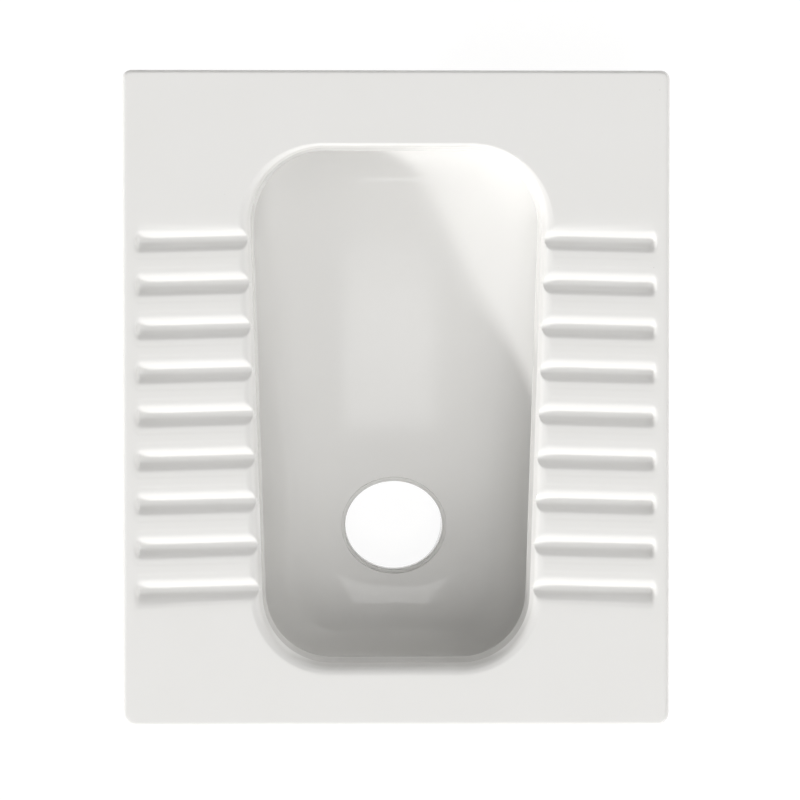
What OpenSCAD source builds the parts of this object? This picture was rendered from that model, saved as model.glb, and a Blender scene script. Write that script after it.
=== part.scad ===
// Squat toilet pan, vitreous china, set flush in the floor.
// +Y is the shallow end with the flush inlet, -Y is the outlet end.
// X is across the pan, Z is up. The origin is on the ground under the middle of the foot plate.

/* [Overall] */
// Width of the foot plate
deck_w = 500; // [450:1:600]
// Length of the foot plate
deck_l = 600; // [560:1:720]
// Height from the end of the outlet spigot to the top of the foot plate
height = 210; // [190:1:260]

/* [Foot plate] */
// Thickness of the foot plate
deck_t = 14; // [12:0.5:17]
// Depth of the skirt, from the top of the plate
skirt_h = 40; // [34:1:60]
// Wall of the skirt
skirt_t = 12; // [9:0.5:16]
// Corner radius of the plate at the shallow end, seen from above
corner_front_r = 8; // [5:0.5:20]
// Corner radius of the plate at the outlet end, seen from above
corner_rear_r = 12; // [8:0.5:20]
// Radius on the top edge of the plate
edge_r = 7; // [4:0.5:7.5]

/* [Foot grooves] */
// Grooves beside each side of the bowl
groove_n = 9; // [4:1:9]
// Distance from one groove to the next
groove_pitch = 40; // [32:0.5:44]
// Distance of the first groove from the middle of the plate
groove_first_y = 144; // [120:1:170]
// Radius of the rounded groove floor
groove_r = 20; // [14:0.5:22]
// Depth of a groove
groove_d = 4.5; // [3:0.25:6]
// Land between the round end of a groove and the edge of the plate
groove_margin = 9; // [8.5:0.5:20]
// Turn of each groove towards the outlet end, in degrees
groove_fan = 1.5; // [0:0.1:4]

/* [Opening in the plate] */
// Width of the opening at the shallow end
open_front_w = 293; // [260:1:305]
// Width of the opening at the outlet end
open_rear_w = 262; // [240:1:290]
// Distance of the opening's shallow end from the middle of the plate
open_front_y = 233; // [215:1:240]
// Distance of the opening's outlet end from the middle of the plate
open_rear_y = 253; // [230:1:256]
// Corner radius at the shallow end
open_front_r = 58; // [50:1:70]
// Corner radius at the outlet end
open_rear_r = 66; // [55:1:75]
// Reach of the rounded edge into the opening at the shallow end, the sides and the outlet end
edge_reach = [5, 10.5, 10];
// Reach of the rim's lower lip at the shallow end, the sides and the outlet end
lip_reach = [6, 13, 16];

/* [Flush rim] */
// Depth of the rim's underside below the plate's top
rim_depth = 40; // [36:1:50]
// Width of the rim behind the edge of the opening
rim_back = 22; // [20:0.5:26]
// Wall of the rim
rim_t = 7; // [5:0.5:8]
// Diameter of a wash hole
wash_d = 5; // [3:0.5:5]
// Wash holes along each side of the rim
wash_n = 5; // [2:1:7]

/* [Bowl] */
// Wall of the bowl
bowl_t = 10; // [8:0.5:12]
// Set-back of the bowl wall behind the edge of the opening, under the rim
bowl_back = 4; // [3:0.5:6]
// Depth of the floor at the shallow end
front_depth = 95; // [80:1:110]
// Depth of the floor at the outlet
drain_depth = 150; // [135:1:165]
// Power of the wall's curve: a higher one gives a steeper wall with a softer foot
wall_shape = 3; // [2:0.1:4]
// Width of the floor at the shallow end, where the wall has run out
floor_front_w = 100; // [84:1:140]
// Distance of the floor's shallow end from the middle of the plate
floor_front_y = 148; // [120:1:175]
// Corner radius of the floor at the shallow end
floor_front_r = 40; // [20:1:41]
// Floor left beside the mouth of the outlet, on each side
floor_beside = 7.5; // [6:0.5:20]
// Floor left behind the mouth of the outlet
floor_behind = 6.5; // [5.5:0.5:12]
// Straight stretch of the floor's edge behind the outlet, between its two corners
floor_flat = 16; // [10:1:30]
// Length over which the floor turns level at the outlet
floor_turn = 60; // [30:1:90]

/* [Outlet] */
// Distance of the outlet behind the middle of the plate
outlet_y = 124; // [110:1:126]
// Outside diameter of the spigot
spigot_od = 105; // [95:0.5:115]
// Wall of the spigot
spigot_t = 6; // [5:0.25:8]
// How much shorter than wide the throat is: its width is the spigot's bore
throat_draw = 9; // [0:0.5:12]
// How much wider and longer than the throat the rounded mouth is
mouth_flare = [8, 9];
// Height of the rounding of the mouth
mouth_h = 6; // [3:0.5:8]
// Thickness of the collar where the bowl runs out into the spigot
collar = 3; // [1:0.5:4]
// Length of the spigot
spigot_l = 42; // [38:1:60]
// Depth of the seat round the spigot that holds the seal
seat_d = 1; // [0.5:0.25:2]

/* [Outlet seal] */
// Wall of the seal's sleeve
seal_t = 3; // [2:0.25:4]
// Height of the seal's sleeve
seal_h = 20; // [16:1:24]
// Distance of the seal from the spigot's end
seal_up = 14; // [10:1:20]
// Reach of a sealing fin
fin_reach = 5; // [3:0.5:7]
// Sealing fins
fin_n = 3; // [2:1:4]

/* [Flush inlet] */
// Outside diameter of the inlet horn
horn_od = 54; // [50:1:60]
// Bore of the inlet horn
horn_id = 40; // [36:1:44]
// Distance of the horn's end from the edge of the plate
horn_back = 5; // [5:0.5:8]
// Width and height of the window from the horn into the rim
window = [28, 10];
// Bore of the rubber grommet, for the flush pipe
pipe_d = 32; // [28:1:34]
// Width and thickness of the grommet's flange
flange = [5, 3];

/* [Supports] */
// Thickness of the webs under the plate
web_t = 10; // [8:0.5:14]
// Distance of the webs from the middle of the plate
web_y = [100, -90];
// Width of the foot under the shallow end
foot_w = 170; // [140:1:190]
// Depth of the foot, front to back
foot_l = 44; // [30:1:60]
// Wall of the foot
foot_t = 13; // [10:0.5:18]
// Distance of the foot from the middle of the plate
foot_y = 130; // [100:1:150]

/* [Hidden] */
$fn = 48;
china = "#f1f1ee";
rubber = "#2b2b2d";
cut = 1;          // how far a cutter runs past the face it cuts
clear = 1.5;      // gap between the horn and the notch in the skirt
seat_gap = 1;     // gap above and below the seal in its seat
fin_t = 1.5;      // thickness of a fin's edge
corner_n = 9;     // steps round a corner of the opening
side_n = 12;      // steps along a side of the opening
end_n = 4;        // steps along an end of the opening
wall_step = 9;    // angle from one ring of the bowl's wall to the next

z_plate = height - deck_t;       // underside of the foot plate
z_skirt = height - skirt_h;      // lower edge of the skirt
z_rim = height - rim_depth;      // underside of the flush rim
z_drain = height - drain_depth;  // floor at the outlet
taper = (open_front_w - open_rear_w) / 2 / (open_front_y + open_rear_y);
lean = atan(taper);
throat = [spigot_od - 2 * spigot_t, spigot_od - 2 * spigot_t - throat_draw];
mouth = throat + mouth_flare;
floor_rear_w = mouth[0] + 2 * floor_beside;
floor_rear_y = outlet_y + mouth[1] / 2 + floor_behind;
floor_rear_r = (floor_rear_w - floor_flat) / 2;
rise = (drain_depth - front_depth)
    / (sqrt(pow(floor_front_y + outlet_y, 2) + pow(floor_turn, 2)) - floor_turn);
horn_y0 = open_front_y + rim_back;
horn_y1 = deck_l / 2 - horn_back;
horn_z = z_plate - horn_od / 2;
window_z = (z_rim + rim_t + z_plate) / 2;
groove_half = sqrt(groove_d * (2 * groove_r - groove_d));

// ---- Outlines and lofts ----

function arc(c, r, a0, a1) = [for (i = [0:corner_n])
    let (a = a0 + (a1 - a0) * i / corner_n) c + r * [cos(a), sin(a)]];

function along(p, q, n) = [for (i = [1:n - 1]) p + (q - p) * i / n];

function flip(points) = [for (i = [len(points) - 1:-1:0]) [-points[i][0], points[i][1]]];

// A tapered outline with round corners, anticlockwise from the middle of the outlet end. Half widths,
// distances along Y and corner radii are given for the shallow end and the outlet end.
function outline(hf, hr, yf, yr, rf, rr) =
    let (turn = atan((hf - hr) / (yf - yr)),
        cf = [hf - rf * tan(turn) - rf / cos(turn), yf - rf],
        cr = [hr + rr * tan(turn) - rr / cos(turn), yr + rr],
        rear = arc(cr, rr, -90, -turn),
        front = arc(cf, rf, -turn, 90),
        half = concat(rear, along(rear[corner_n], front[0], side_n), front),
        other = flip(half))
    concat(half, along(front[corner_n], other[0], end_n), other,
        along(other[len(other) - 1], rear[0], end_n));

// The outline of the opening, drawn in by an amount at the shallow end, the sides and the outlet end
function opening(inset) = outline(
    open_front_w / 2 - taper * inset[0] - inset[1] / cos(lean),
    open_rear_w / 2 + taper * inset[2] - inset[1] / cos(lean),
    open_front_y - inset[0],
    inset[2] - open_rear_y,
    open_front_r - (inset[0] + inset[1]) / 2,
    open_rear_r - (inset[2] + inset[1]) / 2);

// The outline of the bowl's floor, grown by an amount
function floor_outline(grow) = outline(floor_front_w / 2 + grow, floor_rear_w / 2 + grow,
    floor_front_y + grow, -floor_rear_y - grow, floor_front_r + grow, floor_rear_r + grow);

// An oval round the outlet, with each point straight between its centre and one of the given points
function oval(size, points) = [for (p = points)
    let (a = atan2(p[1] + outlet_y, p[0]),
        r = 1 / sqrt(pow(2 * cos(a) / size[0], 2) + pow(2 * sin(a) / size[1], 2)))
    [r * cos(a), r * sin(a) - outlet_y]];

// Height of the bowl's floor above the ground, at a distance y along the pan
function floor_z(y) = z_drain + rise * (sqrt(pow(y + outlet_y, 2) + pow(floor_turn, 2)) - floor_turn);

function level(points, z) = [for (p = points) [p[0], p[1], z]];

// A ring of the bowl's wall: a is 0 at the top and 90 degrees where the wall runs out into the floor
function wall_ring(a, back, grow, below) =
    let (reach = 1 - pow(cos(a), 2 / wall_shape),
        top = opening(-[1, 1, 1] * back),
        foot = floor_outline(grow))
    [for (i = [0:len(top) - 1])
        let (p = top[i] + (foot[i] - top[i]) * reach)
        [p[0], p[1], z_rim - sin(a) * (z_rim - floor_z(p[1]) + below)]];

// A ring of the floor: t is 0 at the wall and 1 at the oval
function floor_ring(t, grow, size, below) =
    let (edge = floor_outline(grow), hole = oval(size, edge))
    [for (i = [0:len(edge) - 1])
        let (p = edge[i] + (hole[i] - edge[i]) * t)
        [p[0], p[1], floor_z(p[1]) - below]];

function middle(points) = [for (p = points) 1 / len(points)] * points;

// A skin through rings of points. A closed one runs on from the last ring to the first,
// and an open one gets a cap of triangles about the middle of each end.
module loft(rings, closed) {
    n = len(rings[0]);
    m = len(rings);
    last = closed ? m - 1 : m - 2;
    skin = [for (k = [0:last]) for (i = [0:n - 1])
        let (j = (i + 1) % n, u = (k + 1) % m)
        each [[k * n + i, u * n + i, u * n + j], [k * n + i, u * n + j, k * n + j]]];
    caps = closed ? [] : [for (i = [0:n - 1])
        let (j = (i + 1) % n, top = (m - 1) * n)
        each [[m * n, i, j], [m * n + 1, top + j, top + i]]];
    ends = closed ? [] : [middle(rings[0]), middle(rings[m - 1])];
    polyhedron(concat([for (r = rings) each r], ends), concat(skin, caps));
}

// ---- Foot plate ----

// A rectangle with rounded corners, about its middle: r at its +Y corners and rear_r at the others
module rounded(size, r, rear_r) {
    polygon([for (q = [[1, 1, 0], [-1, 1, 90], [-1, -1, 180], [1, -1, 270]], a = [0:15:90])
        let (c = q[1] > 0 ? r : rear_r)
        [q[0] * (size[0] / 2 - c) + c * cos(a + q[2]), q[1] * (size[1] / 2 - c) + c * sin(a + q[2])]]);
}

module groove(side, i) {
    x0 = deck_w / 2 - groove_margin - groove_half;
    run = x0 - open_rear_w / 2 + lip_reach[1] + groove_r;
    translate([side * x0, groove_first_y - i * groove_pitch, height + groove_r - groove_d])
        rotate([0, 0, side * -groove_fan])
            rotate([0, side * -90, 0]) {
                cylinder(h = run, r = groove_r);
                sphere(groove_r);
            }
}

module deck() {
    color(china)
        difference() {
            intersection() {
                translate([0, 0, z_skirt])
                    linear_extrude(skirt_h)
                        rounded([deck_w, deck_l], corner_front_r, corner_rear_r);
                translate([0, 0, z_skirt])
                    rotate([90, 0, 0])
                        linear_extrude(deck_l + 2 * cut, center = true)
                            rounded([deck_w, 2 * skirt_h], edge_r, edge_r);
                translate([0, 0, z_skirt])
                    rotate([90, 0, 90])
                        linear_extrude(deck_w + 2 * cut, center = true)
                            rounded([deck_l, 2 * skirt_h], edge_r, edge_r);
            }
            translate([0, 0, z_skirt - cut])
                linear_extrude(skirt_h - deck_t + cut)
                    rounded([deck_w - 2 * skirt_t, deck_l - 2 * skirt_t], corner_front_r, corner_rear_r);
            edge_cutter();
            for (side = [-1, 1], i = [0:groove_n - 1])
                groove(side, i);
            translate([0, deck_l / 2 + cut, 0])
                rotate([90, 0, 0])
                    linear_extrude(skirt_t + 2 * cut)
                        rounded([horn_od + 2 * clear, 2 * (z_plate + clear)], horn_od / 2, horn_od / 2);
        }
}

// What the opening takes out of the plate, with the rounded edge round it
module edge_cutter() {
    rings = concat(
        [level(opening(edge_reach), z_plate - cut)],
        [for (a = [90:-15:0])
            level(opening(edge_reach * sin(a)), height - deck_t * (1 - cos(a)))],
        [level(opening([0, 0, 0]), height + cut)]);
    loft(rings, false);
}

// ---- Flush rim ----

// A trough luted under the plate all round the opening. It carries the flush water to the wash holes.
module flush_rim() {
    back = -[1, 1, 1] * rim_back;
    wall = [1, 1, 1] * rim_t;
    color(china)
        difference() {
            loft([
                level(opening(back), z_rim),
                level(opening(back), z_plate),
                level(opening(edge_reach), z_plate),
                level(opening(lip_reach), z_rim)
            ], true);
            loft([
                level(opening(back + wall), z_rim + rim_t),
                level(opening(back + wall), z_plate + cut),
                level(opening(edge_reach - wall), z_plate + cut),
                level(opening(edge_reach - wall), z_rim + rim_t)
            ], true);
            for (side = [-1, 1], i = [0:wash_n - 1])
                wash_hole(side, i);
            translate([0, horn_y0 - rim_t / 2, window_z])
                cube([window[0], rim_t + 2 * cut, window[1]], center = true);
        }
}

// A hole through the rim's underside, just inside the bowl wall
module wash_hole(side, i) {
    first = open_front_y - open_front_r;
    y = first - i * (first + open_rear_y - open_rear_r) / (wash_n - 1);
    x = open_front_w / 2 - (open_front_y - y) * taper + (bowl_back + rim_t - edge_reach[1]) / 2;
    translate([side * x, y, z_rim - cut])
        cylinder(h = rim_t + 2 * cut, d = wash_d);
}

// ---- Bowl ----

module bowl_outside() {
    loft(outside_rings(), false);
}

function outside_rings() = concat(
    [level(oval([1, 1] * spigot_od, floor_outline(0)), spigot_l)],
    [for (t = [1, 0.6, 0.2]) floor_ring(t, bowl_t / 2, [1, 1] * (spigot_od + 2 * collar), bowl_t)],
    [for (a = [90:-wall_step:0]) wall_ring(a, bowl_back + bowl_t, bowl_t / 2, bowl_t)]);

function inside_rings() = concat(
    [for (a = [0:wall_step:90]) wall_ring(a, bowl_back, 0, 0)],
    [for (t = [0.3, 0.7, 1]) floor_ring(t, 0, mouth, 0)],
    [for (a = [30:30:90])
        let (size = mouth + (throat - mouth) * sin(a))
        level(oval(size, floor_outline(0)), z_drain - mouth_h * (1 - cos(a)))],
    [level(oval(throat, floor_outline(0)), spigot_l)]);

module basin() {
    color(china)
        loft(concat(outside_rings(), inside_rings()), true);
}

// ---- Outlet ----

module outlet_spigot() {
    r = spigot_od / 2;
    color(china)
        translate([0, -outlet_y, 0])
            rotate_extrude()
                polygon([
                    [r - spigot_t, 0],
                    [r, 0],
                    [r, seal_up - seat_gap],
                    [r - seat_d, seal_up - seat_gap],
                    [r - seat_d, seal_up + seal_h + seat_gap],
                    [r, seal_up + seal_h + seat_gap],
                    [r, spigot_l],
                    [r - spigot_t, spigot_l]
                ]);
}

// A rubber sleeve with soft fins, which sits in its seat and seals the spigot in the drain pipe
module outlet_seal() {
    r = spigot_od / 2 - seat_d;
    step = (seal_h - seal_t) / fin_n;
    color(rubber)
        translate([0, -outlet_y, seal_up])
            rotate_extrude() {
                translate([r, 0])
                    square([seal_t, seal_h]);
                for (i = [1:fin_n])
                    translate([r + seal_t / 2, i * step])
                        polygon([[0, 0], [seal_t / 2 + fin_reach, step / 3],
                            [seal_t / 2 + fin_reach, step / 3 + fin_t], [0, seal_t]]);
            }
}

// ---- Flush inlet ----

module inlet_horn() {
    end_t = horn_y1 - horn_y0;
    color(china)
        difference() {
            translate([0, horn_y0, horn_z])
                rotate([-90, 0, 0])
                    cylinder(h = end_t, d = horn_od);
            translate([0, horn_y0 + rim_t, horn_z])
                rotate([-90, 0, 0])
                    cylinder(h = end_t, d = horn_id);
            translate([0, horn_y0 + rim_t / 2, window_z])
                cube([window[0], rim_t + 2 * cut, window[1]], center = true);
        }
}

// A rubber bush pressed into the horn, which grips the flush pipe
module inlet_grommet() {
    color(rubber)
        translate([0, horn_y1, horn_z])
            rotate([-90, 0, 0])
                rotate_extrude()
                    polygon([
                        [pipe_d / 2, flange[1]],
                        [horn_id / 2 + flange[0], flange[1]],
                        [horn_id / 2 + flange[0], 0],
                        [horn_id / 2, 0],
                        [horn_id / 2, -horn_id / 2],
                        [pipe_d / 2 + 1, -horn_id / 2],
                        [pipe_d / 2, -horn_id / 2 + 2]
                    ]);
}

// ---- Supports ----

// A web between the flush rim and the skirt, under the foot grooves
module web(side, y) {
    x1 = deck_w / 2 - skirt_t;
    color(china)
        difference() {
            translate([side > 0 ? 0 : -x1, y - web_t / 2, z_skirt + web_t / 2])
                cube([x1, web_t, z_plate - z_skirt - web_t / 2]);
            loft([
                level(opening(-[1, 1, 1] * rim_back), z_skirt - cut),
                level(opening(-[1, 1, 1] * rim_back), z_plate + cut)
            ], false);
        }
}

// A cast foot under the shallow end, level with the end of the spigot
module support_foot() {
    color(china)
        difference() {
            translate([0, foot_y, 0])
                linear_extrude(z_rim)
                    difference() {
                        rounded([foot_w, foot_l], foot_t, foot_t);
                        translate([0, -foot_t])
                            rounded([foot_w - 2 * foot_t, foot_l], foot_t / 2, foot_t / 2);
                    }
            bowl_outside();
        }
}

deck();
flush_rim();
basin();
outlet_spigot();
outlet_seal();
inlet_horn();
inlet_grommet();
web(-1, web_y[0]);  // left_front_web
web(-1, web_y[1]);  // left_rear_web
web(1, web_y[0]);  // right_front_web
web(1, web_y[1]);  // right_rear_web
support_foot();
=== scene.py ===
import math
import bmesh
import bpy
import numpy as np
from mathutils import Matrix, Vector
from mathutils.bvhtree import BVHTree


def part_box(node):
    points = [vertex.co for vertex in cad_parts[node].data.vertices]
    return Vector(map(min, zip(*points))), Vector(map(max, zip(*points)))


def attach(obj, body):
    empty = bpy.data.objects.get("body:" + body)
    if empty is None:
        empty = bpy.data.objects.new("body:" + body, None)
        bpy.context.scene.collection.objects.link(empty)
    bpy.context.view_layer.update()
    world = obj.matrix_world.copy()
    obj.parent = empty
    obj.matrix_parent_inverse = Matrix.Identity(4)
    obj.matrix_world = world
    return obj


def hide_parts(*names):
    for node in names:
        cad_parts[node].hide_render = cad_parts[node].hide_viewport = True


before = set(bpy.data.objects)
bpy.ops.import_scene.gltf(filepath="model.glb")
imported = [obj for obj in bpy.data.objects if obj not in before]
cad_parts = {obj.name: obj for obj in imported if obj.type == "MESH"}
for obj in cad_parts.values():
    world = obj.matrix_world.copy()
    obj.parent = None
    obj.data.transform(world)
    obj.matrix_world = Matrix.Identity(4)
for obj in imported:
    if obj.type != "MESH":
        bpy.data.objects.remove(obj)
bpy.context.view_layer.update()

# ---- Bowl ----
# The bowl is one slip casting of vitreous china, about 10 mm thick. Its wall hangs from the flush rim,
# rolls into a sloping floor and ends in the rounded mouth and the throat of the drain.
# The inside is glazed, and the underside is left as fired.

deck_lo, deck_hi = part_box("deck")
rim_lo, rim_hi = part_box("flush_rim")
spigot_lo, spigot_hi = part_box("outlet_spigot")
TOP = deck_hi[2]                     # top of the foot plate
Z_RIM = rim_lo[2]                    # underside of the flush rim
RIM_BACK = 0.022                     # reach of the rim behind the edge of the opening
OPEN_FRONT_Y = rim_hi[1] - RIM_BACK  # shallow end of the opening
OPEN_REAR_Y = rim_lo[1] + RIM_BACK   # outlet end of the opening
OPEN_FRONT_W = 0.293
OPEN_REAR_W = 0.262
OPEN_FRONT_R = 0.076                 # the corners are softer than those of the plain solid
OPEN_REAR_R = 0.074
OUTLET_Y = (spigot_lo[1] + spigot_hi[1]) / 2
SPIGOT_R = (spigot_hi[0] - spigot_lo[0]) / 2
SPIGOT_TOP = spigot_hi[2]
BOWL_WALL = 0.010
BOWL_BACK = 0.004                    # set-back of the bowl wall under the rim
FRONT_DEPTH = 0.0835                 # depth of the floor at its shallow end
DRAIN_DEPTH = 0.150                  # depth of the floor at the outlet
WALL_SHAPE = 3                       # power of the wall's curve: higher is steeper, with a softer foot
FLOOR_FRONT_W = 0.100                # outline of the floor, where the wall runs out
FLOOR_REAR_W = 0.116
FLOOR_FRONT_Y = 0.200
FLOOR_REAR_Y = -0.177
FLOOR_FRONT_R = 0.040
FLOOR_REAR_R = 0.050
FLOOR_TURN = 0.060                   # reach of the bend that brings the floor level at the outlet
FLOOR_DISH = 1.5                     # radius of the slight hollow across the floor
MOUTH = (0.101, 0.093)               # the drain's oval in the floor, across and along the pan
THROAT = (0.093, 0.084)              # the oval below its rounded edge
MOUTH_ROUND = 0.006
COLLAR = 0.003                       # flare of the underside round the top of the spigot
ROUND = np.array([1.0, 1.0, 1.0])    # the same inset at the shallow end, the sides and the outlet end
TAPER = (OPEN_FRONT_W - OPEN_REAR_W) / 2 / (OPEN_FRONT_Y - OPEN_REAR_Y)
LEAN = math.atan(TAPER)
Z_DRAIN = TOP - DRAIN_DEPTH
FLOOR_RISE = (DRAIN_DEPTH - FRONT_DEPTH) / (
    math.hypot(FLOOR_FRONT_Y - OUTLET_Y, FLOOR_TURN) - FLOOR_TURN)
END_STEPS = 16                       # points of an outline: along half an end, round a corner, along a side
CORNER_STEPS = 40
SIDE_STEPS = 272
WALL_STEPS = 36                      # rings of the inside: down the wall, over the floor, into the drain
FLOOR_STEPS = 16
MOUTH_STEPS = 9
UNDER_WALL_STEPS = 14                # rings of the underside
UNDER_FLOOR_STEPS = 5
CROWDING = 1.5                       # above 1 the rings stand closer towards the top of the wall
MERGE_DISTANCE = 1e-6
SHARP_ANGLE = math.radians(35)       # an edge that turns by more than this stays sharp


def arc(centre, radius, start, end, steps):
    """Points on an arc, from the start angle to the end angle."""
    angles = np.linspace(start, end, steps + 1)
    return np.stack([centre[0] + radius * np.cos(angles), centre[1] + radius * np.sin(angles)], 1)


def outline(half_front, half_rear, y_front, y_rear, r_front, r_rear):
    """A tapered outline with round corners, anticlockwise from the middle of the outlet end."""
    lean = math.atan((half_front - half_rear) / (y_front - y_rear))
    rear_arc = arc((half_rear + r_rear * (math.tan(lean) - 1 / math.cos(lean)), y_rear + r_rear), r_rear,
                   -math.pi / 2, -lean, CORNER_STEPS)
    front_arc = arc((half_front - r_front * (math.tan(lean) + 1 / math.cos(lean)), y_front - r_front),
                    r_front, -lean, math.pi / 2, CORNER_STEPS)
    ends = np.linspace(0, 1, END_STEPS + 1)[:-1, None]
    sides = np.linspace(0, 1, SIDE_STEPS + 1)[1:-1, None]
    half = np.concatenate([
        np.array([0, y_rear]) + ends * (rear_arc[0] - [0, y_rear]),
        rear_arc,
        rear_arc[-1] + sides * (front_arc[0] - rear_arc[-1]),
        front_arc[:-1],
        front_arc[-1] + ends * ([0, y_front] - front_arc[-1]),
        [[0, y_front]]])
    return np.concatenate([half, half[-2:0:-1] * [-1, 1]])


def opening(inset):
    """The outline of the opening, drawn in at the shallow end, the sides and the outlet end."""
    front, side, rear = inset
    return outline(OPEN_FRONT_W / 2 - TAPER * front - side / math.cos(LEAN),
                   OPEN_REAR_W / 2 + TAPER * rear - side / math.cos(LEAN),
                   OPEN_FRONT_Y - front, OPEN_REAR_Y + rear,
                   OPEN_FRONT_R - (front + side) / 2, OPEN_REAR_R - (rear + side) / 2)


def floor_outline(grow):
    """The outline where the wall runs out into the floor, grown by a distance."""
    return outline(FLOOR_FRONT_W / 2 + grow, FLOOR_REAR_W / 2 + grow, FLOOR_FRONT_Y + grow,
                   FLOOR_REAR_Y - grow, FLOOR_FRONT_R + grow, FLOOR_REAR_R + grow)


def oval(size, line):
    """An oval round the outlet, with each point straight between its centre and the line's point."""
    away = line - [0, OUTLET_Y]
    away = away / np.linalg.norm(away, axis=1, keepdims=True)
    r = 1 / np.sqrt((2 * away[:, 0] / size[0]) ** 2 + (2 * away[:, 1] / size[1]) ** 2)
    return away * r[:, None] + [0, OUTLET_Y]


def floor_z(line):
    """The floor's height at each point. It climbs away from the outlet, and a little towards the sides."""
    climb = FLOOR_RISE * (np.hypot(line[:, 1] - OUTLET_Y, FLOOR_TURN) - FLOOR_TURN)
    return Z_DRAIN + climb + line[:, 0] ** 2 / (2 * FLOOR_DISH)


def ring(line, z):
    """A flat line lifted to a height, or each of its points to a height of its own."""
    return np.column_stack([line, np.broadcast_to(z, len(line))])


def faces_between(count, one, other):
    """The four-sided faces between two rings of so many points, given by the rings' numbers."""
    i = np.arange(count)
    j = (i + 1) % count
    a = one * count
    b = other * count
    return np.stack([a + i, a + j, b + j, b + i], 1).tolist()


def add_object(name, mesh):
    """Puts a mesh into the scene as an object."""
    piece = bpy.data.objects.new(name, mesh)
    bpy.context.scene.collection.objects.link(piece)
    return piece


def loft(name, rings, glazed):
    """A closed skin through rings of equal length, from the last one back to the first.
    For the span after each ring, glazed tells if it has the first finish, or else the second."""
    faces = []
    slots = []
    for k in range(len(rings)):
        faces.extend(faces_between(len(rings[0]), k, (k + 1) % len(rings)))
        slots.extend([0 if glazed[k] else 1] * len(rings[0]))
    mesh = bpy.data.meshes.new(name)
    mesh.from_pydata(np.concatenate(rings).tolist(), [], faces)
    mesh.polygons.foreach_set("material_index", slots)
    return add_object(name, mesh)


def finish_mesh(piece):
    """Merges doubles, turns the faces outwards and shades them smooth, but for the sharp edges."""
    work = bmesh.new()
    work.from_mesh(piece.data)
    bmesh.ops.remove_doubles(work, verts=work.verts, dist=MERGE_DISTANCE)
    bmesh.ops.recalc_face_normals(work, faces=work.faces)
    work.to_mesh(piece.data)
    work.free()
    piece.data.shade_smooth()
    piece.data.set_sharp_from_angle(angle=SHARP_ANGLE)


def colour(code):
    """An sRGB hex value, turned to linear."""
    parts = [int(code[i:i + 2], 16) / 255 for i in (0, 2, 4)]
    return (*[p / 12.92 if p <= 0.04045 else ((p + 0.055) / 1.055) ** 2.4 for p in parts], 1)


def add(tree, kind, settings, links=()):
    """Adds a node. A setting goes to the attribute or input of its name or number, a link to an input."""
    node = tree.nodes.new(kind)
    for key, value in settings.items():
        if isinstance(key, str) and hasattr(node, key):
            setattr(node, key, value)
        else:
            node.inputs[key].default_value = value
    for key, source in dict(links).items():
        tree.links.new(source, node.inputs[key])
    return node


def new_material(name):
    """A material, with its node tree, its shader and the place on the piece that its patterns follow."""
    material = bpy.data.materials.new(name)
    material.use_nodes = True
    tree = material.node_tree
    place = add(tree, "ShaderNodeTexCoord", {}).outputs["Object"]
    return material, tree, tree.nodes["Principled BSDF"], place


# Glazed vitreous china: a white body under a clear lead-free glaze, sprayed on and fired at about
# 1200 degrees. It gives clean, mirror-like highlights on a surface that waves a little, like orange peel.
def make_glaze():
    material, tree, shader, place = new_material("glazed_vitreous_china")
    # The glaze lies a little thicker and thinner over hand-sized patches, about 70 mm across
    pools = add(tree, "ShaderNodeTexNoise", {"Scale": 14.0, "Detail": 2.0}, {"Vector": place})
    body = add(tree, "ShaderNodeMix", {"data_type": "RGBA", 6: colour("e8e7e5"), 7: colour("e6e5e2")},
               {0: pools.outputs["Fac"]})
    # Pin specks of iron in the body, up to 1 mm across and about 30 mm apart
    grains = add(tree, "ShaderNodeTexVoronoi", {"Scale": 32.0, "Randomness": 1.0}, {"Vector": place})
    speck = add(tree, "ShaderNodeMapRange",
                {"From Min": 0.006, "From Max": 0.016, "To Min": 0.45, "To Max": 0.0},
                {"Value": grains.outputs["Distance"]})
    tinted = add(tree, "ShaderNodeMix", {"data_type": "RGBA", 7: colour("8f8578")},
                 {0: speck.outputs["Result"], 6: body.outputs[2]})
    tree.links.new(tinted.outputs[2], shader.inputs["Base Color"])
    # Orange peel in the glaze, about 9 mm from crest to crest, on broader waves of about 45 mm. Both are
    # a few hundredths of a millimetre high
    peel = add(tree, "ShaderNodeTexNoise", {"Scale": 110.0, "Detail": 1.0}, {"Vector": place})
    waves = add(tree, "ShaderNodeTexNoise", {"Scale": 22.0, "Detail": 1.0}, {"Vector": place})
    height = add(tree, "ShaderNodeMath", {"operation": "MULTIPLY_ADD", 1: 2.0},
                 {0: waves.outputs["Fac"], 2: peel.outputs["Fac"]})
    bump = add(tree, "ShaderNodeBump", {"Strength": 1.0, "Distance": 0.000025},
               {"Height": height.outputs["Value"]})
    tree.links.new(bump.outputs["Normal"], shader.inputs["Normal"])
    shader.inputs["Roughness"].default_value = 0.07
    shader.inputs["IOR"].default_value = 1.52   # of a silicate glaze
    return material


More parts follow.
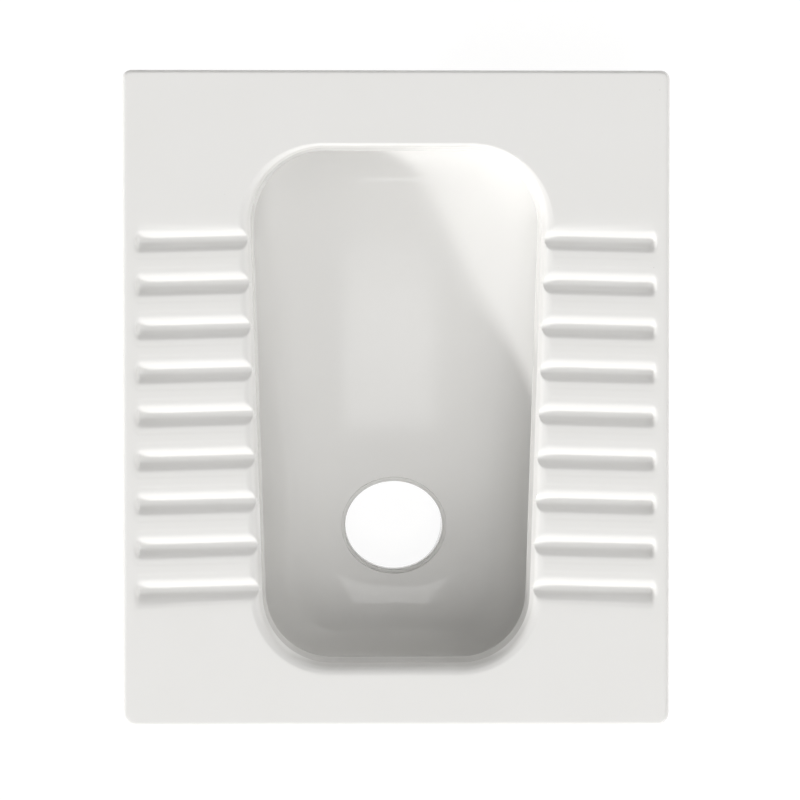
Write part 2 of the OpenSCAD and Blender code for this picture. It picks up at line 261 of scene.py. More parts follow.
# Unglazed vitreous china, as on the underside: dense, off-white and matt, with a fine tooth from the mould.
def make_biscuit():
    material, tree, shader, place = new_material("unglazed_vitreous_china")
    # The fired body is a little yellower in cloudy patches, about 110 mm across
    patches = add(tree, "ShaderNodeTexNoise", {"Scale": 9.0, "Detail": 5.0, "Roughness": 0.6},
                  {"Vector": place})
    body = add(tree, "ShaderNodeMix", {"data_type": "RGBA", 6: colour("dedad0"), 7: colour("ece9e2")},
               {0: patches.outputs["Fac"]})
    tree.links.new(body.outputs[2], shader.inputs["Base Color"])
    # The tooth of plaster and slip, about 0.8 mm, with sponge marks about 15 mm long
    tooth = add(tree, "ShaderNodeTexNoise", {"Scale": 1200.0, "Detail": 2.0}, {"Vector": place})
    sponge = add(tree, "ShaderNodeTexNoise", {"Scale": 65.0, "Detail": 2.0, "Distortion": 0.8},
                 {"Vector": place})
    height = add(tree, "ShaderNodeMath", {"operation": "MULTIPLY_ADD", 1: 4.0},
                 {0: sponge.outputs["Fac"], 2: tooth.outputs["Fac"]})
    bump = add(tree, "ShaderNodeBump", {"Strength": 1.0, "Distance": 0.00006},
               {"Height": height.outputs["Value"]})
    tree.links.new(bump.outputs["Normal"], shader.inputs["Normal"])
    shader.inputs["Roughness"].default_value = 0.62
    return material


glaze = make_glaze()
biscuit = make_biscuit()


def wall_ring(part, back, grow, below):
    """A ring of the bowl's wall: part is 0 at the top and 1 where the wall runs out into the floor."""
    reach = part ** CROWDING
    top = opening(-ROUND * back)
    line = top + reach * (floor_outline(grow) - top)
    drop = math.sqrt(1 - (1 - reach) ** WALL_SHAPE)
    return ring(line, Z_RIM - drop * (Z_RIM - floor_z(line) + below))


def floor_ring(part, grow, size, below):
    """A ring of the floor: part is 0 at the wall and 1 at the oval."""
    edge = floor_outline(grow)
    line = edge + part * (oval(size, edge) - edge)
    return ring(line, floor_z(line) - below)


# The skin starts at the spigot, runs up the underside to the rim, and down the inside into the drain
joint = (SPIGOT_R * 2, SPIGOT_R * 2)
collar = (joint[0] + COLLAR * 2, joint[1] + COLLAR * 2)
bowl_rings = [ring(oval(joint, floor_outline(0)), SPIGOT_TOP)]
bowl_rings += [floor_ring(part, BOWL_WALL / 2, collar, BOWL_WALL)
               for part in np.linspace(1, 0, UNDER_FLOOR_STEPS + 1)[:-1]]
bowl_rings += [wall_ring(part, BOWL_BACK + BOWL_WALL, BOWL_WALL / 2, BOWL_WALL)
               for part in np.linspace(1, 0, UNDER_WALL_STEPS + 1)]
glazed_from = len(bowl_rings)
bowl_rings += [wall_ring(part, BOWL_BACK, 0, 0) for part in np.linspace(0, 1, WALL_STEPS + 1)]
bowl_rings += [floor_ring(part, 0, MOUTH, 0) for part in np.linspace(0, 1, FLOOR_STEPS + 1)[1:]]
for turn in np.linspace(0, math.pi / 2, MOUTH_STEPS + 1)[1:]:
    size = [m + (t - m) * math.sin(turn) for m, t in zip(MOUTH, THROAT)]
    bowl_rings.append(ring(oval(size, floor_outline(0)), Z_DRAIN - MOUTH_ROUND * (1 - math.cos(turn))))
bowl_rings.append(ring(oval(THROAT, floor_outline(0)), SPIGOT_TOP))
bowl = loft("bowl", bowl_rings, [k >= glazed_from - 1 for k in range(len(bowl_rings))])
finish_mesh(bowl)
bowl.data.materials.append(glaze)
bowl.data.materials.append(biscuit)
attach(bowl, "root")
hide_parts("basin")

# ---- Flush rim ----
# A trough of china, cast by itself and luted under the plate all round the opening. Its inner face is
# the lip that overhangs the bowl, and the flush water leaves it through holes pierced behind that lip.

Z_PLATE = rim_hi[2]                             # underside of the foot plate
EDGE_REACH = np.array([0.003, 0.0105, 0.010])   # reach of the plate's rounded edge into the opening
LIP_REACH = np.array([0.0045, 0.013, 0.014])    # reach of the rim's lower lip
LIP_FLARE = np.array([0.0002, 0.0003, 0.0014])  # reach over which the lip turns out at its foot
FLARE_H = 0.0007                                # height over which it turns out
FACE_BEND = 0.5                                 # share of the face and of the flare in their bend
RIM_WALL = 0.007
LIP_ROUND = 0.0012
TROUGH_Z = Z_RIM + RIM_WALL                     # floor of the trough
FACE_STEPS = 6
LIP_STEPS = 5


def fillet(corners, radii, steps):
    """An outline with each corner rounded by about its own radius. A corner with none stays sharp."""
    points = []
    for k, radius in enumerate(radii):
        here = np.array(corners[k], float)
        if radius == 0:
            points.append(here)
            continue
        before = np.array(corners[k - 1]) - here
        after = np.array(corners[(k + 1) % len(corners)]) - here
        start = here + before / np.linalg.norm(before) * radius
        end = here + after / np.linalg.norm(after) * radius
        for t in np.linspace(0, 1, steps + 1):
            points.append((1 - t) ** 2 * start + 2 * t * (1 - t) * here + t * t * end)
    return points


rim_back = opening(-ROUND * RIM_BACK)
trough_back = opening(ROUND * (RIM_WALL - RIM_BACK))
lip_back = opening(EDGE_REACH - RIM_WALL)
rim_rings = [ring(rim_back, Z_RIM), ring(rim_back, Z_PLATE), ring(trough_back, Z_PLATE),
             ring(trough_back, TROUGH_Z), ring(lip_back, TROUGH_Z), ring(lip_back, Z_PLATE)]
face_from = len(rim_rings)
# The face is steep and nearly flat, and turns out at its foot like the rim of a spoon. Each pair holds
# the share of the steep part and the share of the flare.
face = fillet([(0, 0), (1, 0), (1, 1)], [0, FACE_BEND, 0], FACE_STEPS)
face_h = Z_PLATE - Z_RIM - LIP_ROUND - FLARE_H
face_reach = LIP_REACH - LIP_FLARE - EDGE_REACH
for steep, out in face[:-1]:
    rim_rings.append(ring(opening(EDGE_REACH + face_reach * steep + LIP_FLARE * out),
                          Z_PLATE - face_h * steep - FLARE_H * out))
# The edge under the lip is a quarter round
for turn in np.linspace(0, math.pi / 2, LIP_STEPS + 1):
    rim_rings.append(ring(opening(LIP_REACH - LIP_ROUND * (1 - math.cos(turn))),
                          Z_RIM + LIP_ROUND * (1 - math.sin(turn))))
rim = loft("flush_rim_trough", rim_rings, [k >= face_from for k in range(len(rim_rings))])
finish_mesh(rim)

WASH_HOLES = 5                       # along each side
WASH_D = 0.005
WASH_FACETS = 24
DRILL_DEPTH = RIM_WALL * 1.5         # right through the trough's floor
WINDOW_W = 0.028                     # window from the inlet horn into the trough
WINDOW_H = 0.010
WINDOW_Z = (TROUGH_Z + Z_PLATE) / 2
HORN_BACK_WALL = 0.007
WINDOW_CUT = HORN_BACK_WALL * 3      # right through the backs of the trough and of the horn
CUT = {"operation": "DIFFERENCE", "solver": "MANIFOLD"}
horn_lo, horn_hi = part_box("inlet_horn")
window = {"Window": (0.0, horn_lo[1], WINDOW_Z), "Window size": (WINDOW_W, WINDOW_CUT, WINDOW_H)}


def wash_place(y):
    """A wash hole's place at y, half way between the bowl's wall and the inside of the lip."""
    return (OPEN_FRONT_W / 2 - (OPEN_FRONT_Y - y) * TAPER + (BOWL_BACK + RIM_WALL - EDGE_REACH[1]) / 2,
            y, Z_RIM + RIM_WALL / 2)


def sockets(tree, sizes):
    """Gives a node tree its geometry sockets and one named input for each size."""
    kinds = {int: "NodeSocketInt", float: "NodeSocketFloat", tuple: "NodeSocketVector",
             bpy.types.Material: "NodeSocketMaterial"}
    tree.interface.new_socket("Geometry", in_out="INPUT", socket_type="NodeSocketGeometry")
    for name, value in sizes.items():
        socket = tree.interface.new_socket(name, in_out="INPUT", socket_type=kinds[type(value)])
        socket.default_value = value
    tree.interface.new_socket("Geometry", in_out="OUTPUT", socket_type="NodeSocketGeometry")
    return add(tree, "NodeGroupInput", {}).outputs


def keep_glazed(tree, shape, given):
    """The end of a tree: the glazed faces, those of the first slot, get the glaze."""
    real = add(tree, "GeometryNodeRealizeInstances", {}, {0: shape})
    index = add(tree, "GeometryNodeInputMaterialIndex", {})
    first = add(tree, "FunctionNodeCompare", {"data_type": "INT", "operation": "EQUAL"},
                {2: index.outputs[0]})
    painted = add(tree, "GeometryNodeSetMaterial", {},
                  {"Geometry": real.outputs[0], "Selection": first.outputs[0], "Material": given["Glaze"]})
    add(tree, "NodeGroupOutput", {}, {0: painted.outputs[0]})


def window_block(tree, given):
    """The block that is cut out for the window."""
    block = add(tree, "GeometryNodeMeshCube", {}, {"Size": given["Window size"]})
    return add(tree, "GeometryNodeTransform", {},
               {"Geometry": block.outputs[0], "Translation": given["Window"]})


def wash_tree():
    """Pierces a row of wash holes along each side of the trough, and the window at the shallow end."""
    tree = bpy.data.node_groups.new("wash_holes", "GeometryNodeTree")
    given = sockets(tree, {
        "Count": WASH_HOLES, "First": wash_place(OPEN_FRONT_Y - OPEN_FRONT_R),
        "Last": wash_place(OPEN_REAR_Y + OPEN_REAR_R), "Radius": WASH_D / 2, "Depth": DRILL_DEPTH,
        **window, "Glaze": glaze, "Bare": biscuit})
    row = add(tree, "GeometryNodeMeshLine", {"mode": "END_POINTS"},
              {"Count": given["Count"], "Start Location": given["First"], "Offset": given["Last"]})
    other = add(tree, "GeometryNodeTransform", {"Scale": (-1, 1, 1)}, {"Geometry": row.outputs[0]})
    drill = add(tree, "GeometryNodeMeshCylinder", {"Vertices": WASH_FACETS},
                {"Radius": given["Radius"], "Depth": given["Depth"]})
    rows = add(tree, "GeometryNodeJoinGeometry", {})
    for source in (row, other):
        tree.links.new(source.outputs[0], rows.inputs[0])
    holes = add(tree, "GeometryNodeInstanceOnPoints", {},
                {"Points": rows.outputs[0], "Instance": drill.outputs[0]})
    holes = add(tree, "GeometryNodeRealizeInstances", {}, {0: holes.outputs[0]})
    cutters = add(tree, "GeometryNodeJoinGeometry", {})
    for source in (holes, window_block(tree, given)):
        tree.links.new(source.outputs[0], cutters.inputs[0])
    cutters = add(tree, "GeometryNodeSetMaterial", {},
                  {"Geometry": cutters.outputs[0], "Material": given["Bare"]})
    cut = add(tree, "GeometryNodeMeshBoolean", CUT,
              {"Mesh 1": given["Geometry"], "Mesh 2": cutters.outputs[0]})
    keep_glazed(tree, cut.outputs[0], given)
    return tree


def bake_nodes(piece, tree, inputs):
    """Runs a node tree on the piece and keeps the result as its plain mesh."""
    modifier = piece.modifiers.new(tree.name, "NODES")
    modifier.node_group = tree
    for item in tree.interface.items_tree:
        if item.name in inputs and item.in_out == "INPUT":
            modifier[item.identifier] = inputs[item.name]
    bpy.context.view_layer.update()
    seen = piece.evaluated_get(bpy.context.evaluated_depsgraph_get())
    mesh = bpy.data.meshes.new_from_object(seen)
    piece.modifiers.remove(modifier)
    piece.data = mesh
    return piece


rim.data.materials.append(glaze)
rim.data.materials.append(biscuit)
bake_nodes(rim, wash_tree(), {"Glaze": glaze, "Bare": biscuit})
finish_mesh(rim)
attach(rim, "root")
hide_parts("flush_rim")

# ---- Drain spigot ----
# The spigot is a china tube of 105 mm, luted under the throat. Its end enters the soil pipe, and a shallow
# seat turned into the wet clay holds the rubber seal. The bore is glazed so that it flushes clean.

SPIGOT_WALL = 0.006
SPIGOT_ROUND = 0.0025                # rounding of the free end
SPIGOT_GLAZED = 4                    # spans down the bore, so the glaze ends in that rounding
SEAT_DEPTH = 0.001
SEAT_GAP = 0.001                     # play above and below the seal
SEAT_EDGE = 0.0006                   # rounding of the seat's edges
SEAT_CORNER = 0.0004                 # rounding of its inner corners
SEAL_H = 0.020
TURN_STEPS = 120                     # points round a turned piece
seal_lo, seal_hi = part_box("outlet_seal")


def turned(name, profile, place, along, glazed):
    """A closed piece turned round the Z or Y axis at a place. The profile holds (radius, height) points."""
    angles = np.linspace(0, 2 * math.pi, TURN_STEPS + 1)[:-1]
    rings = []
    for radius, height in profile:
        flat = np.stack([radius * np.cos(angles), radius * np.sin(angles), np.full(TURN_STEPS, height)], 1)
        if along == "Y":
            flat = flat[:, [0, 2, 1]]
        rings.append(flat + place)
    piece = loft(name, rings, glazed)
    finish_mesh(piece)
    return piece


bore = SPIGOT_R - SPIGOT_WALL
seat = SPIGOT_R - SEAT_DEPTH
seat_lo = seal_lo[2] - SEAT_GAP
seat_hi = seal_lo[2] + SEAL_H + SEAT_GAP
spigot_profile = fillet(
    [(bore, SPIGOT_TOP), (bore, 0), (SPIGOT_R, 0), (SPIGOT_R, seat_lo), (seat, seat_lo), (seat, seat_hi),
     (SPIGOT_R, seat_hi), (SPIGOT_R, SPIGOT_TOP)],
    [0, SPIGOT_ROUND, SPIGOT_ROUND, SEAT_EDGE, SEAT_CORNER, SEAT_CORNER, SEAT_EDGE, 0], steps=4)
spigot = turned("drain_spigot", spigot_profile, (0, OUTLET_Y, 0), "Z",
                [k < SPIGOT_GLAZED for k in range(len(spigot_profile))])
spigot.data.materials.append(glaze)
spigot.data.materials.append(biscuit)
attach(spigot, "root")
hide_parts("outlet_spigot")

# ---- Spigot seal ----
# A sleeve of moulded EPDM rubber, stretched over the spigot into its seat. Three thin fins lean up and
# bend against the wall of the soil pipe.

SEAL_WALL = 0.003
SEAL_BORE_EDGE = 0.0003              # rounding of both ends of the bore
SEAL_FOOT_ROUND = 0.0008
FINS = 3
FIN_EDGE = 0.0015                    # thickness of a fin at its tip
FIN_ROUNDS = [0.0006, 0.0006, 0.0005, 0.0006]   # at the lower root, the tip's two edges, the upper root


# Ethylene propylene (EPDM) rubber, moulded: black with a faint grey bloom, and matt from the mould's grain.
def make_rubber():
    material, tree, shader, place = new_material("moulded_epdm_rubber")
    # Bloom rises in cloudy patches about 12 mm across
    bloom = add(tree, "ShaderNodeTexNoise", {"Scale": 80.0, "Detail": 4.0, "Roughness": 0.65},
                {"Vector": place})
    body = add(tree, "ShaderNodeMix", {"data_type": "RGBA", 6: colour("232325"), 7: colour("343436")},
               {0: bloom.outputs["Fac"]})
    tree.links.new(body.outputs[2], shader.inputs["Base Color"])
    # The spark-eroded mould leaves a grain of about 0.5 mm
    grain = add(tree, "ShaderNodeTexNoise", {"Scale": 2000.0, "Detail": 1.0}, {"Vector": place})
    bump = add(tree, "ShaderNodeBump", {"Strength": 0.6, "Distance": 0.00003},
               {"Height": grain.outputs["Fac"]})
    tree.links.new(bump.outputs["Normal"], shader.inputs["Normal"])
    # The bloom is also rougher than the bare rubber
    rough = add(tree, "ShaderNodeMapRange", {"To Min": 0.48, "To Max": 0.66},
                {"Value": bloom.outputs["Fac"]})
    tree.links.new(rough.outputs["Result"], shader.inputs["Roughness"])
    return material


rubber = make_rubber()
fin_step = (SEAL_H - SEAL_WALL) / FINS
fin_rise = fin_step / 3              # a fin leans up by a third of the step
fin_tip = seal_hi[0]
sleeve = seat + SEAL_WALL
corners = [(seat, 0), (sleeve, 0)]
radii = [SEAL_BORE_EDGE, SEAL_FOOT_ROUND]
for k in range(1, FINS + 1):
    root = k * fin_step
    corners += [(sleeve, root), (fin_tip, root + fin_rise), (fin_tip, root + fin_rise + FIN_EDGE),
                (sleeve, root + SEAL_WALL)]
    radii += FIN_ROUNDS
corners += [(seat, corners[-1][1])]
radii += [SEAL_BORE_EDGE]
seal_profile = fillet(corners, radii, steps=3)
seal = turned("spigot_seal", seal_profile, (0, OUTLET_Y, seal_lo[2]), "Z", [True] * len(seal_profile))
seal.data.materials.append(rubber)
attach(seal, "root")
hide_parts("outlet_seal")

# ---- Foot plate ----
# The plate is a china casting with a turned-down skirt, a rounded edge all round and a rolled edge at the
# opening. Nine grooves on each side drain into the bowl and keep the feet from slipping.

PLATE_X = deck_hi[0]
PLATE_Y = deck_hi[1]
Z_SKIRT = deck_lo[2]
SKIRT_WALL = 0.012
CORNER_FRONT_R = 0.008
CORNER_REAR_R = 0.012
CORNER_LEAST_R = 0.001
EDGE_R = 0.0038
FOOT_R = 0.0025                      # rounding of the skirt's lower edge
PLATE_CORNER_STEPS = 8
EDGE_STEPS = 8
FOOT_STEPS = 3


def plate_outline(inset):
    """The plate's rounded rectangle, with one point for each point of the opening."""
    x = PLATE_X - inset
    y = PLATE_Y - inset
    r = max(CORNER_FRONT_R - inset, CORNER_LEAST_R)
    rear_r = max(CORNER_REAR_R - inset, CORNER_LEAST_R)
    inner = opening((0, 0, 0))
    rear_x = inner[END_STEPS][0]
    side_from = inner[END_STEPS + CORNER_STEPS][1]
    side_to = inner[END_STEPS + CORNER_STEPS + SIDE_STEPS][1]
    front_x = inner[END_STEPS + CORNER_STEPS * 2 + SIDE_STEPS][0]
    run = (CORNER_STEPS - PLATE_CORNER_STEPS) // 2

    def line(a, b, steps):
        return np.array(a) + np.linspace(0, 1, steps + 1)[:, None] * (np.array(b) - a)

    half = np.concatenate([
        line((0, -y), (rear_x, -y), END_STEPS)[:-1],
        line((rear_x, -y), (x - rear_r, -y), run)[:-1],
        arc((x - rear_r, rear_r - y), rear_r, -math.pi / 2, 0, PLATE_CORNER_STEPS)[:-1],
        line((x, rear_r - y), (x, side_from), run)[:-1],
        line((x, side_from), (x, side_to), SIDE_STEPS)[:-1],
        line((x, side_to), (x, y - r), run)[:-1],
        arc((x - r, y - r), r, 0, math.pi / 2, PLATE_CORNER_STEPS)[:-1],
        line((x - r, y), (front_x, y), run)[:-1],
        line((front_x, y), (0, y), END_STEPS)])
    return np.concatenate([half, half[-2:0:-1] * [-1, 1]])


plate_t = TOP - Z_PLATE
# The rolled edge falls off in two steps: a shallow bevel, then a round turn into the steep inner face.
# Its points hold the share of the reach and the share of the plate's thickness.
ROLL = [(-0.25, 0), (0, 0), (0.62, 0.15), (1, 1)]
ROLL_ROUNDS = [0, 0.14, 0.34, 0]
roll = fillet(ROLL, ROLL_ROUNDS, steps=9)
plate_rings = [ring(opening(EDGE_REACH * reach), TOP - plate_t * drop) for reach, drop in roll[::-1]]
# The rings across the top stand closer by the opening, and in the last third, where the grooves end. Each
# stretch holds the shares of the way at which it starts and ends, and its number of rings.
STRETCHES = ((0, 0.1, 6), (0.1, 0.66, 14), (0.66, 1, 22))
inner_line = opening(EDGE_REACH * roll[0][0])
outer_line = plate_outline(EDGE_R)
for start, end, count in STRETCHES:
    for share in np.linspace(start, end, count + 1)[1:]:
        plate_rings.append(ring(inner_line + share * (outer_line - inner_line), TOP))
plate_rings += [ring(plate_outline(EDGE_R * (1 - math.sin(turn))), TOP - EDGE_R * (1 - math.cos(turn)))
                for turn in np.linspace(0, math.pi / 2, EDGE_STEPS + 1)[1:]]
plate_rings += [ring(plate_outline(FOOT_R * (1 - math.cos(turn))), Z_SKIRT + FOOT_R * (1 - math.sin(turn)))
                for turn in np.linspace(0, math.pi / 2, FOOT_STEPS + 1)]
glazed_to = len(plate_rings) - 1
tray = plate_outline(SKIRT_WALL)
plate_rings += [ring(tray, Z_SKIRT), ring(tray, Z_PLATE),
                ring(tray + (inner_line - tray) / 2, Z_PLATE)]
plate = loft("foot_plate", plate_rings, [k < glazed_to for k in range(len(plate_rings))])

GROOVES = 9
GROOVE_PITCH = 0.040
GROOVE_FIRST_Y = 0.143
GROOVE_DEPTH = 0.0066
GROOVE_HALF_W = 0.0154
GROOVE_POWER = 2.0                   # above 1 the valley is tighter and the shoulders are broader
GROOVE_END_X = 0.241                 # outer end of the grooves
GROOVE_END_RUN = 0.007               # reach of the steep slope at that end
GROOVE_FAN = math.radians(1.5)
GROOVE_SOFT = 0.001                  # softness of the edge where a groove leaves the plate
TOP_BAND = 1.5                       # points down to this many groove depths belong to the plate's top
NOTCH_GAP = 0.0015                   # gap between the inlet horn and its notch in the skirt
NOTCH_FACETS = 72
HORN_R = (horn_hi[0] - horn_lo[0]) / 2
HORN_Z = (horn_lo[2] + horn_hi[2]) / 2


def plate_tree():
    """Sinks each point of the top by the groove that it lies in, and cuts the horn's notch in the skirt."""
    tree = bpy.data.node_groups.new("foot_grooves", "GeometryNodeTree")
    given = sockets(tree, {
        "Count": float(GROOVES), "Pitch": GROOVE_PITCH, "First": GROOVE_FIRST_Y, "Depth": GROOVE_DEPTH,
        "Half width": GROOVE_HALF_W, "Power": GROOVE_POWER, "End": GROOVE_END_X,
        "End run": GROOVE_END_RUN, "Fan": math.tan(GROOVE_FAN), "Top": float(TOP),
        "Soft": GROOVE_SOFT, "Notch radius": float(HORN_R + NOTCH_GAP),
        "Notch": (0.0, float(PLATE_Y - SKIRT_WALL / 2), float(HORN_Z)), "Glaze": glaze})
    where = add(tree, "GeometryNodeInputPosition", {}).outputs[0]
    part = add(tree, "ShaderNodeSeparateXYZ", {}, {0: where}).outputs
    value = dict(given.items())
    value.update({"x": part[0], "y": part[1], "z": part[2]})
    # Each row names a value and says how it is worked out, from values by name and from plain numbers
    for name, operation, *terms in (
            ("out", "ABSOLUTE", "x"),
            # Distance along the row of grooves, straightened for their fan
            ("past end", "SUBTRACT", "out", "End"),
            ("straightened", "MULTIPLY_ADD", "past end", "Fan", "y"),
            ("along", "SUBTRACT", "First", "straightened"),
            # Distance from the middle line of the nearest groove, in half widths
            ("pitches", "DIVIDE", "along", "Pitch"),
            ("nearest", "ROUND", "pitches"),
            ("first or later", "MAXIMUM", "nearest", 0.0),
            ("last", "SUBTRACT", "Count", 1.0),
            ("number", "MINIMUM", "first or later", "last"),
            ("middle", "MULTIPLY", "number", "Pitch"),
            ("off middle", "SUBTRACT", "along", "middle"),
            ("off", "DIVIDE", "off middle", "Half width"),
            # Distance into the slope at the outer end, in lengths of that slope
            ("in slope", "ADD", "past end", "End run"),
            ("in slope only", "MAXIMUM", "in slope", 0.0),
            ("past", "DIVIDE", "in slope only", "End run"),
            ("past square", "MULTIPLY", "past", "past"),
            ("square", "MULTIPLY_ADD", "off", "off", "past square"),
            ("away", "SQRT", "square"),
            # Across, the groove is one wave of a cosine to a power: a round valley between soft shoulders
            ("inside", "MINIMUM", "away", 1.0),
            ("angle", "MULTIPLY", "inside", math.pi),
            ("wave", "COSINE", "angle"),
            ("half wave", "MULTIPLY_ADD", "wave", 0.5, 0.5),
            ("valley", "POWER", "half wave", "Power"),
            ("outside", "SUBTRACT", "away", 1.0),
            ("beyond", "MAXIMUM", "outside", 0.0),
            ("form", "SUBTRACT", "valley", "beyond"),
            # Where the plate already curves down at the opening, the groove only takes what is above it
            ("sunk", "MULTIPLY", "Depth", "form"),
            ("below top", "SUBTRACT", "Top", "z"),
            ("left", "SUBTRACT", "sunk", "below top"),
            ("depth", "SMOOTH_MAX", "left", 0.0, "Soft"),
            ("shift", "MULTIPLY", "depth", -1.0),
            ("band", "MULTIPLY", "Depth", TOP_BAND),
            ("on top", "LESS_THAN", "below top", "band"),
            ("Notch width", "MULTIPLY", "Notch radius", 2.0)):
        numbers = {i: term for i, term in enumerate(terms) if not isinstance(term, str)}
        wires = {i: value[term] for i, term in enumerate(terms) if isinstance(term, str)}
        value[name] = add(tree, "ShaderNodeMath", {"operation": operation, **numbers}, wires).outputs[0]
    shift = add(tree, "ShaderNodeCombineXYZ", {}, {2: value["shift"]})
    moved = add(tree, "GeometryNodeSetPosition", {},
                {"Geometry": given["Geometry"], "Selection": value["on top"], "Offset": shift.outputs[0]})
    # The notch is the horn's round, open downwards: a tube, and a block from its middle to below the skirt
    tube = add(tree, "GeometryNodeMeshCylinder", {"Vertices": NOTCH_FACETS},
               {"Radius": given["Notch radius"], "Depth": given["Notch radius"]})
    tube = add(tree, "GeometryNodeTransform", {"Rotation": (math.pi / 2, 0, 0)},
               {"Geometry": tube.outputs[0], "Translation": given["Notch"]})
    block_size = add(tree, "ShaderNodeCombineXYZ", {},
                     {0: value["Notch width"], 1: given["Notch radius"], 2: value["Notch width"]})
    block = add(tree, "GeometryNodeMeshCube", {}, {"Size": block_size.outputs[0]})
    lower = add(tree, "ShaderNodeCombineXYZ", {}, {2: given["Notch radius"]})
    low = add(tree, "ShaderNodeVectorMath", {"operation": "SUBTRACT"},
              {0: given["Notch"], 1: lower.outputs[0]})
    block = add(tree, "GeometryNodeTransform", {},
                {"Geometry": block.outputs[0], "Translation": low.outputs[0]})
    once = add(tree, "GeometryNodeMeshBoolean", CUT,
               {"Mesh 1": moved.outputs[0], "Mesh 2": tube.outputs[0]})
    cut = add(tree, "GeometryNodeMeshBoolean", CUT,
              {"Mesh 1": once.outputs[0], "Mesh 2": block.outputs[0]})
    keep_glazed(tree, cut.outputs[0], given)
    return tree


plate.data.materials.append(glaze)
plate.data.materials.append(biscuit)
finish_mesh(plate)
bake_nodes(plate, plate_tree(), {"Glaze": glaze})
finish_mesh(plate)
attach(plate, "root")
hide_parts("deck")

# ---- Webs ----
# Four china webs carry the foot plate beside the bowl. Each is cut from a cast slab, luted between the
# flush rim and the skirt, and its joints are wiped into coves with a wet finger.

WEB_COVE = 0.005
WEB_SINK = 0.0005                    # how far a joint reaches into the china that it is luted to
COVE_STEPS = 5


def web_section(half, z_low, z_high):
    """A web's outline across its length, as (y, z): a round lower edge, and coves under the plate."""
    turns = np.linspace(0, math.pi / 2, COVE_STEPS + 1)
    side = [(half * math.sin(turn), z_low + half * (1 - math.cos(turn))) for turn in turns]
    side += [(half + WEB_COVE * (1 - math.cos(turn)), z_high - WEB_COVE * (1 - math.sin(turn)))
             for turn in turns]
    return np.array(side + [(-y, z) for y, z in side[:0:-1]])


def strip(name, rings):
    """A closed skin along a row of rings, with a flat face on each end."""
    count = len(rings[0])
    faces = [list(range(count)), list(range((len(rings) - 1) * count, len(rings) * count))]
    for k in range(len(rings) - 1):
        faces.extend(faces_between(count, k, k + 1))
    mesh = bpy.data.meshes.new(name)
    mesh.from_pydata(np.concatenate(rings).tolist(), [], faces)
    return add_object(name, mesh)


for node in ("left_front_web", "left_rear_web", "right_front_web", "right_rear_web"):
    web_lo, web_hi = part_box(node)
    side = math.copysign(1, web_hi[0] + web_lo[0])
    web_y = (web_lo[1] + web_hi[1]) / 2
    half = (web_hi[1] - web_lo[1]) / 2
    x_skirt = max(abs(web_lo[0]), abs(web_hi[0]))
    # The web starts wide at the rim, is narrow between the coves, and ends wide at the skirt
    turns = np.linspace(math.pi / 2, 0, COVE_STEPS + 1)
    rings = []
    for at_rim, turn in [(True, turn) for turn in turns] + [(False, turn) for turn in turns[::-1]]:
        yz = web_section(half + WEB_COVE * (1 - math.cos(turn)), web_lo[2], web_hi[2] + WEB_SINK)
        rim_x = OPEN_FRONT_W / 2 - (OPEN_FRONT_Y - yz[:, 0] - web_y) * TAPER + RIM_BACK / math.cos(LEAN)
        step = WEB_COVE * (1 - math.sin(turn))
        x = rim_x + step - WEB_SINK if at_rim else np.full(len(yz), x_skirt - step + WEB_SINK)
        rings.append(np.column_stack([side * x, web_y + yz[:, 0], yz[:, 1]]))
    web = strip("web_" + node[:-4], rings)
    finish_mesh(web)
    web.data.materials.append(biscuit)
    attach(web, "root")
    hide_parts(node)

# ---- Support foot ----
# A U-shaped foot of cast china under the shallow end. It stands level with the end of the spigot, and its
# top is cut to the bowl and luted on with a cove of slip.

foot_lo, foot_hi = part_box("support_foot")
FOOT_WALL = 0.013
FOOT_COVE = 0.004
FOOT_EDGE = 0.002                    # bevel of the edges that it stands on
FOOT_SINK = 0.003                    # how far its top reaches into the bowl's wall
FOOT_SQUEEZE = [0.25, 0.12, 0.03, 0]   # the free ends are rounded: each flank draws in by these shares
FOOT_COVE_STEPS = 4
LEG_STEPS = 8
BACK_STEPS = 32
BEND_STEPS = 8
bowl_skin = BVHTree.FromObject(bowl, bpy.context.evaluated_depsgraph_get())


def foot_path(inset):
    """The foot's outline seen from above, from one free end to the other, as (x, y) points."""
    x = foot_hi[0] - inset
    y = foot_hi[1] - inset
    r = FOOT_WALL - inset / 2
    leg = np.linspace(foot_lo[1], y - r, LEG_STEPS + 1)
    back = np.linspace(r - x, x - r, BACK_STEPS + 1)
    bend = arc((r - x, y - r), r, math.pi, math.pi / 2, BEND_STEPS)
    other = bend[::-1] * [-1, 1]
    return np.concatenate([[(-x, v) for v in leg[:-1]], bend, [(v, y) for v in back[1:-1]], other,
                           [(x, v) for v in leg[-2::-1]]])


def under_bowl(x, y):
    """Height of the bowl's underside at (x, y)."""
    return bowl_skin.ray_cast(Vector((x, y, 0)), Vector((0, 0, 1)))[0].z


